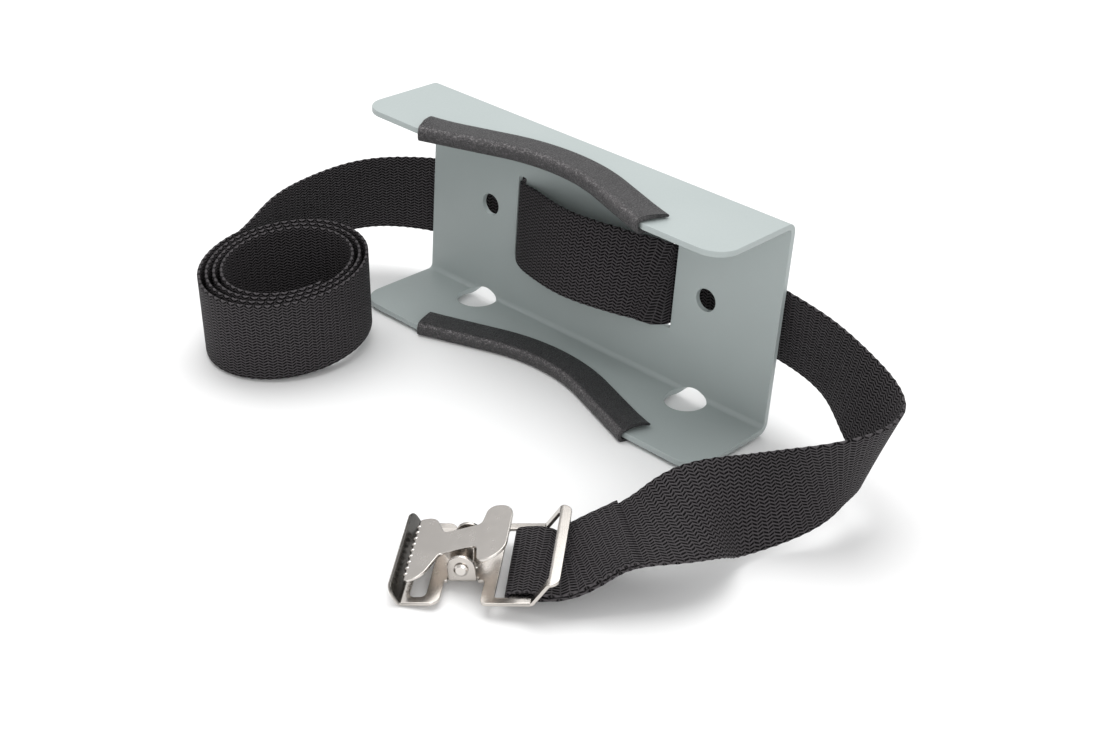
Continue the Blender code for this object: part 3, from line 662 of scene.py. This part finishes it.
def strap_fold(middle, across):
    """The strap's end: round the cross bar and back on top of itself."""
    ply = STRAP_THICKNESS + FOLD_PLY_GAP
    lift = PLATE + 1.6 * MM + STRAP_THICKNESS
    along = unit((middle[-1] - middle[-8])[None])[0]
    side = across[-1]
    normal = np.cross(side, along)
    if normal[2] < 0:
        normal = -normal
    straight = 2.4 * MM
    foot = middle[-1]
    spots = [foot + along * straight * k / 4 for k in range(1, 5)]
    centre = foot + along * straight + normal * lift / 2
    for k in range(1, 24):
        t = math.pi * k / 24
        spots.append(centre + (along * math.sin(t) - normal * math.cos(t)) * lift / 2)
    spots.append(foot + along * straight + normal * lift)
    spots.append(foot + normal * lift)
    sides = [side] * len(spots)
    travelled = 0
    for i in range(len(middle) - 2, 0, -1):
        travelled += float(np.linalg.norm(middle[i + 1] - middle[i]))
        if travelled > FOLD_LENGTH:
            break
        settled = min(max((travelled - 4 * MM) / (14 * MM), 0), 1)
        level = ply + (lift - ply) * (1 + math.cos(math.pi * settled)) / 2
        ahead = middle[i + 1] - middle[i]
        up = np.cross(across[i], ahead)
        up = up / np.linalg.norm(up) * (1 if up[2] > 0 else -1)
        spots.append(middle[i] + up * level)
        sides.append(across[i])
    return np.array(spots), np.array(sides)


def make_strap(mat):
    middle, across, travelled = strap_band()
    along = unit(np.gradient(middle, axis=0))
    across = unit(across - along * np.sum(along * across, 1, keepdims=True))
    normal = np.cross(along, across)
    half = STRAP_WIDTH / 2
    thick = STRAP_THICKNESS / 2
    face = np.linspace(-1, 1, 19)
    section = [(c * (half - 0.5 * MM), thick) for c in face]
    section += [(half - 0.1 * MM, thick * 0.6), (half, 0), (half - 0.1 * MM, -thick * 0.6)]
    section += [(c * (half - 0.5 * MM), -thick) for c in face[::-1]]
    section += [(-half + 0.1 * MM, -thick * 0.6), (-half, 0), (-half + 0.1 * MM, thick * 0.6)]
    scallop = EDGE_SCALLOP * np.abs(np.sin(np.pi * travelled / WEAVE_PERIOD))
    rows = []
    for i in range(len(middle)):
        row = []
        for c, h in section:
            pull = scallop[i] * (abs(c) / half) ** 6 * (1 if c < 0 else -1)
            row.append(middle[i] + across[i] * (c + pull) + normal[i] * h)
        rows.append(row)
    mesh = surface_mesh(rows, True)
    layer = mesh.uv_layers.new(name="strap")
    width = len(section)
    places = np.array([c for c, h in section])
    index = np.zeros(len(mesh.loops), int)
    mesh.loops.foreach_get("vertex_index", index)
    uv = np.stack([travelled[index // width], places[index % width]], 1)
    layer.data.foreach_set("uv", uv.ravel())
    obj = add_object("webbing_strap", mesh, mat, 70)
    return obj, float(travelled[-1]), (middle, across, normal)


# ---------------------------------------------------------------- buckle

def buckle_matrix(along, up):
    """Places a piece modelled about a line across the buckle."""
    normal = BUCKLE_ALONG.cross(BUCKLE_ACROSS)
    turn = Matrix((BUCKLE_ALONG, BUCKLE_ACROSS, normal)).transposed()
    return Matrix.Translation(buckle_point(along, BUCKLE_WIDTH / 2, up)) @ turn.to_4x4()


def make_buckle_frame(mat):
    """The stamped and folded plate, its edges rounded."""
    half = BUCKLE_WIDTH / 2
    waist = WAIST_WIDTH / 2
    rail = half - RAIL_WIDTH
    bar_end = 43.6 * MM
    ear_from, ear_to = PIN_ALONG - EAR_HALF_LENGTH, PIN_ALONG + EAR_HALF_LENGTH
    ear_top = EAR_FOOT + EAR_HEIGHT
    right = [
        (bar_end, half, 5 * MM), (STRIP_FROM, half, 3 * MM), (STRIP_FROM, waist, 1.5 * MM),
        (ear_to + EAR_RELIEF, waist, 0), (ear_to + EAR_RELIEF, EAR_FOOT, 0), (ear_to, EAR_FOOT, 0),
        (ear_to, ear_top, 6.7 * MM), (ear_from, ear_top, 6.7 * MM), (ear_from, EAR_FOOT, 0),
        (ear_from - EAR_RELIEF, EAR_FOOT, 0), (ear_from - EAR_RELIEF, waist, 0),
        (JAW_INNER, waist, 1.2 * MM), (JAW_INNER, half, 5 * MM), (JAW_LINE - JAW_RISE, half, 5 * MM),
    ]
    left = [(x, -y, r) for x, y, r in right[::-1]]
    windows = []
    for start, end, corner in (
        (-35 * MM, -26.9 * MM, 3 * MM), (STRIP_TO, BAR_FROM, 1.4 * MM), (BAR_TO, 38.2 * MM, 1.8 * MM),
    ):
        windows.append(rounded([
            (start, -rail, corner), (end, -rail, corner), (end, rail, corner), (start, rail, corner),
        ], 8))
    mesh = plate_mesh([rounded(right + left, 10)] + windows, PLATE, BUCKLE_EDGE, 3)
    bend(mesh, 0, END_BEND_HIGH, 1, PLATE_BEND_RADIUS, -END_BEND_ANGLE, PLATE, steps=10)
    bend(mesh, 0, END_BEND_LOW, 1, PLATE_BEND_RADIUS, END_BEND_ANGLE, PLATE, steps=10)
    bend(mesh, 0, JAW_LINE, -1, PLATE_BEND_RADIUS, JAW_ANGLE, PLATE, steps=10)

    def on_ear(x, y):
        return ear_from - 0.1 * MM <= x <= ear_to + 0.1 * MM

    for direction in (-1, 1):
        bend(mesh, 1, direction * EAR_FOOT, direction, 0.6 * MM, math.pi / 2, PLATE, on_ear, 8)
    clean(mesh)
    # Painted shade: the jaw wall's inner face is marked 0.9, and narrow bands at the foot of the jaw bend
    # and before the low end bend are marked 0.45.
    shade = mesh.attributes.new("shade", "FLOAT", "POINT")
    for vert, value in zip(mesh.vertices, shade.data):
        along, up = vert.co.x / MM, vert.co.z / MM
        inner = -38.4 - max(up - 1.5, 0) * 0.445
        value.value = 0.9 if up > 1.6 and along < -37.9 and along > inner - 1.15 else 0.0
        if 0.9 < up < 2.6 and (-37.9 <= along < -36.5 or 19 < along < 23.4):
            value.value = 0.45
    mesh.transform(buckle_matrix(0, 0))
    obj = add_object("folded_buckle_frame", mesh, mat, 32)
    flat_faces(obj)
    return obj


def make_lever(mat):
    """The toothed lever: its plan is cut, the toothed edge turned down, the cheeks added."""
    waist = LEVER_WAIST / 2
    wing = [
        (-26.6 * MM, 24 * MM, 2 * MM), (-16.3 * MM, 23 * MM, 9 * MM), (-9.3 * MM, waist, 3 * MM),
        (10.2 * MM, waist, 3 * MM), (12.2 * MM, 21.5 * MM, 4.4 * MM), (26 * MM, 19.5 * MM, 10.6 * MM),
    ]
    places = [((TOOTH_COUNT - 1) / 2 - k) * TOOTH_PITCH for k in range(TOOTH_COUNT)]
    teeth = []
    for across in places:
        teeth += [(TOOTH_ROOT, -across - TOOTH_HALF_WIDTH, 0), (TOOTH_TIP, -across, 0.6 * MM)]
        teeth.append((TOOTH_ROOT, -across + TOOTH_HALF_WIDTH, 0))
    outline = rounded(wing + [(x, -y, r) for x, y, r in wing[::-1]] + teeth, 10)
    plate = plate_mesh([outline], LEVER_PLATE, 0.35 * MM, 3)
    bend(plate, 0, TOOTH_BEND, -1, 0.8 * MM, -TOOTH_BEND_ANGLE, LEVER_PLATE, steps=10)
    plate.transform(Matrix.Translation((0, 0, LEVER_RISE)))
    pieces = [clean(plate)]
    cheek_top = LEVER_RISE + 0.9 * MM
    cheek = rounded([
        (-7.2 * MM, cheek_top, 0), (-3.9 * MM, -3.9 * MM, 3.2 * MM),
        (3.9 * MM, -3.9 * MM, 3.2 * MM), (8.6 * MM, cheek_top, 0),
    ], 8)
    hole = circle(0, 0, PIN_RADIUS + 0.3 * MM, 32)
    for side in (-1, 1):
        mesh = plate_mesh([cheek, hole], LEVER_PLATE, 0.3 * MM, 3)
        low = waist - LEVER_PLATE if side > 0 else -waist
        stand = Matrix.Translation((0, low + LEVER_PLATE, 0)) @ Matrix.Rotation(math.pi / 2, 4, "X")
        mesh.transform(stand)
        pieces.append(clean(mesh))
    for across in places:
        work = bmesh.new()
        bmesh.ops.create_uvsphere(work, u_segments=20, v_segments=12, radius=1.0)
        knob = bpy.data.meshes.new("knob")
        work.to_mesh(knob)
        work.free()
        spot = (KNOB_ALONG, across, LEVER_RISE + LEVER_PLATE - KNOB_DROP)
        knob.transform(Matrix.Translation(spot) @ Matrix.Diagonal((*KNOB_RADII, 1)))
        pieces.append(knob)
    work = bmesh.new()
    for mesh in pieces:
        work.from_mesh(mesh)
    whole = bpy.data.meshes.new("lever")
    work.to_mesh(whole)
    work.free()
    whole.transform(buckle_matrix(PIN_ALONG, PIN_HEIGHT) @ Matrix.Rotation(-LEVER_SLOPE, 4, "Y"))
    obj = add_object("toothed_lever", whole, mat, 32)
    flat_faces(obj)
    return obj


def make_stitches(strap_line, mat):
    """Two seams across the strap's folded end and two along it, as short thread stitches."""
    middle, across, normal = strap_line
    curve = bpy.data.curves.new("stitches", "CURVE")
    curve.dimensions = "3D"
    curve.bevel_depth = STITCH_RADIUS
    curve.bevel_resolution = 2
    curve.use_fill_caps = True

    def spot(back, side, lift):
        at = len(middle) - 1 - back / STRAP_STEP
        low = int(at)
        share = at - low
        point = middle[low] * (1 - share) + middle[low + 1] * share
        up = normal[low] * (1 if normal[low][2] > 0 else -1)
        return point + across[low] * side + up * (STRAP_THICKNESS / 2 + lift)

    seams = []
    for back in (3.5 * MM, 30 * MM):
        for k in range(14):
            side = (k - 6.5) * STITCH_PITCH
            seams.append([(back, side + step * MM) for step in (-1.1, -0.6, 0.6, 1.1)])
    for side in (-21.5 * MM, 21.5 * MM):
        for k in range(8):
            back = 5.2 * MM + k * STITCH_PITCH
            seams.append([(back + step * MM, side) for step in (-1.1, -0.6, 0.6, 1.1)])
    for seam in seams:
        spline = curve.splines.new("POLY")
        spline.points.add(3)
        for point, (back, side), lift in zip(spline.points, seam, (-0.3, 0.1, 0.1, -0.3)):
            point.co = (*spot(back, side, lift * MM), 1)
    obj = bpy.data.objects.new("stitches", curve)
    bpy.context.scene.collection.objects.link(obj)
    return add_object("seam_stitches", evaluated_mesh(obj), mat, 60)


# ---------------------------------------------------------------- studio

def make_camera():
    sin_a, cos_a = math.sin(CAMERA_AZIMUTH), math.cos(CAMERA_AZIMUTH)
    sin_e, cos_e = math.sin(CAMERA_ELEVATION), math.cos(CAMERA_ELEVATION)
    forward = Vector((-sin_a * cos_e, cos_a * cos_e, -sin_e))
    right = forward.cross(Vector((0, 0, 1))).normalized()
    up = right.cross(forward)
    level = right * math.cos(CAMERA_ROLL) + up * math.sin(CAMERA_ROLL)
    rise = -right * math.sin(CAMERA_ROLL) + up * math.cos(CAMERA_ROLL)
    data = bpy.data.cameras.new("camera")
    data.lens = CAMERA_LENS
    data.sensor_width = 36
    camera = bpy.data.objects.new("camera", data)
    turn = Matrix((level, rise, -forward)).transposed()
    camera.matrix_world = Matrix.Translation(CAMERA_PLACE) @ turn.to_4x4()
    bpy.context.scene.collection.objects.link(camera)
    bpy.context.scene.camera = camera


def make_light(name, place, size, power):
    data = bpy.data.lights.new(name, "AREA")
    data.shape = "RECTANGLE"
    data.size, data.size_y = size
    data.energy = power
    light = bpy.data.objects.new(name, data)
    light.location = place
    direction = Vector(LIGHT_TARGET) - Vector(place)
    light.rotation_euler = direction.to_track_quat("-Z", "Y").to_euler()
    bpy.context.scene.collection.objects.link(light)


def make_studio():
    floor_z = cad_low[2] - FLOOR_DROP
    mesh = bpy.data.meshes.new("floor")
    signs = ((-1, -1), (1, -1), (1, 1), (-1, 1))
    corners = [(x * FLOOR_REACH, y * FLOOR_REACH, floor_z) for x, y in signs]
    mesh.from_pydata(corners, [], [(0, 1, 2, 3)])
    floor = bpy.data.objects.new("floor", mesh)
    bpy.context.scene.collection.objects.link(floor)
    pale = Nodes("pale_floor", (0.9, 0.9, 0.9), 0.9)
    mesh.materials.append(pale.mat)
    world = bpy.data.worlds.new("studio")
    world.use_nodes = True
    world.node_tree.nodes["Background"].inputs["Color"].default_value = (1, 1, 1, 1)
    world.node_tree.nodes["Background"].inputs["Strength"].default_value = WORLD_STRENGTH
    bpy.context.scene.world = world
    bpy.context.scene.view_settings.view_transform = "Standard"
    make_light("key", *KEY_LIGHT)
    make_light("fill", *FILL_LIGHT)


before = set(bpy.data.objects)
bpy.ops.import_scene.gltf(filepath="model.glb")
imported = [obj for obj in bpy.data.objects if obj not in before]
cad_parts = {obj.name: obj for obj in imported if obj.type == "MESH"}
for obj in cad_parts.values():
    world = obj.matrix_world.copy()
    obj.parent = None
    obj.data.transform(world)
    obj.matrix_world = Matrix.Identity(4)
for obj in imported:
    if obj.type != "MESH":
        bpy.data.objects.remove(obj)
cad_low, cad_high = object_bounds()
make_camera()
root, buckle, lever = "bracket_and_strap", "buckle", "lever"

strap, strap_length, strap_line = make_strap(webbing())
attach(strap, root)
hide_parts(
    "strap_coil", "strap_left_run", "strap_front_span", "strap_right_loop", "strap_buckle_fold",
)

folded = make_bracket(powder_coat())
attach(folded, root)
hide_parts("bracket")

black = vinyl()
middle = WEB_HEIGHT / 2 - SHEET / 2
for name, height, node, ends, flares, bulge_down in (
    ("upper_trim", middle, "upper_edge_trim", UPPER_TRIM_ENDS, (1.6 * MM, 1 * MM), 1 * MM),
    ("lower_trim", -middle, "lower_edge_trim", LOWER_TRIM_ENDS, (0.4 * MM, 2.4 * MM), 0),
):
    trim = make_trim(name, height, ends, black, flares, 1.4 * MM, bulge_down)
    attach(trim, root)
    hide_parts(node)

plated = nickel()
thread = Nodes("black_thread", (0.02, 0.018, 0.02), 0.6).mat
stitches = make_stitches(strap_line, thread)
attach(stitches, root)

# The frame's nickel takes the painted shade marked on the plate.
buckle_plate = make_buckle_frame(nickel("painted_shade_nickel", (0.59, 0.555, 0.52), with_painted_shade=True))
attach(buckle_plate, buckle)
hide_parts("buckle_frame")

toothed = make_lever(plated)
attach(toothed, lever)
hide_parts("buckle_lever")

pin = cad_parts["pivot_pin"]
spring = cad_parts["torsion_spring"]
for node, mat in ((pin, plated), (spring, nickel("spring_wire", (0.6, 0.58, 0.55), 0.25))):
    node.data.materials.clear()
    node.data.materials.append(mat)
rim = pin.modifiers.new("rim", "BEVEL")
rim.width = 0.4 * MM
rim.segments = 3
rim.limit_method = "ANGLE"

make_studio()
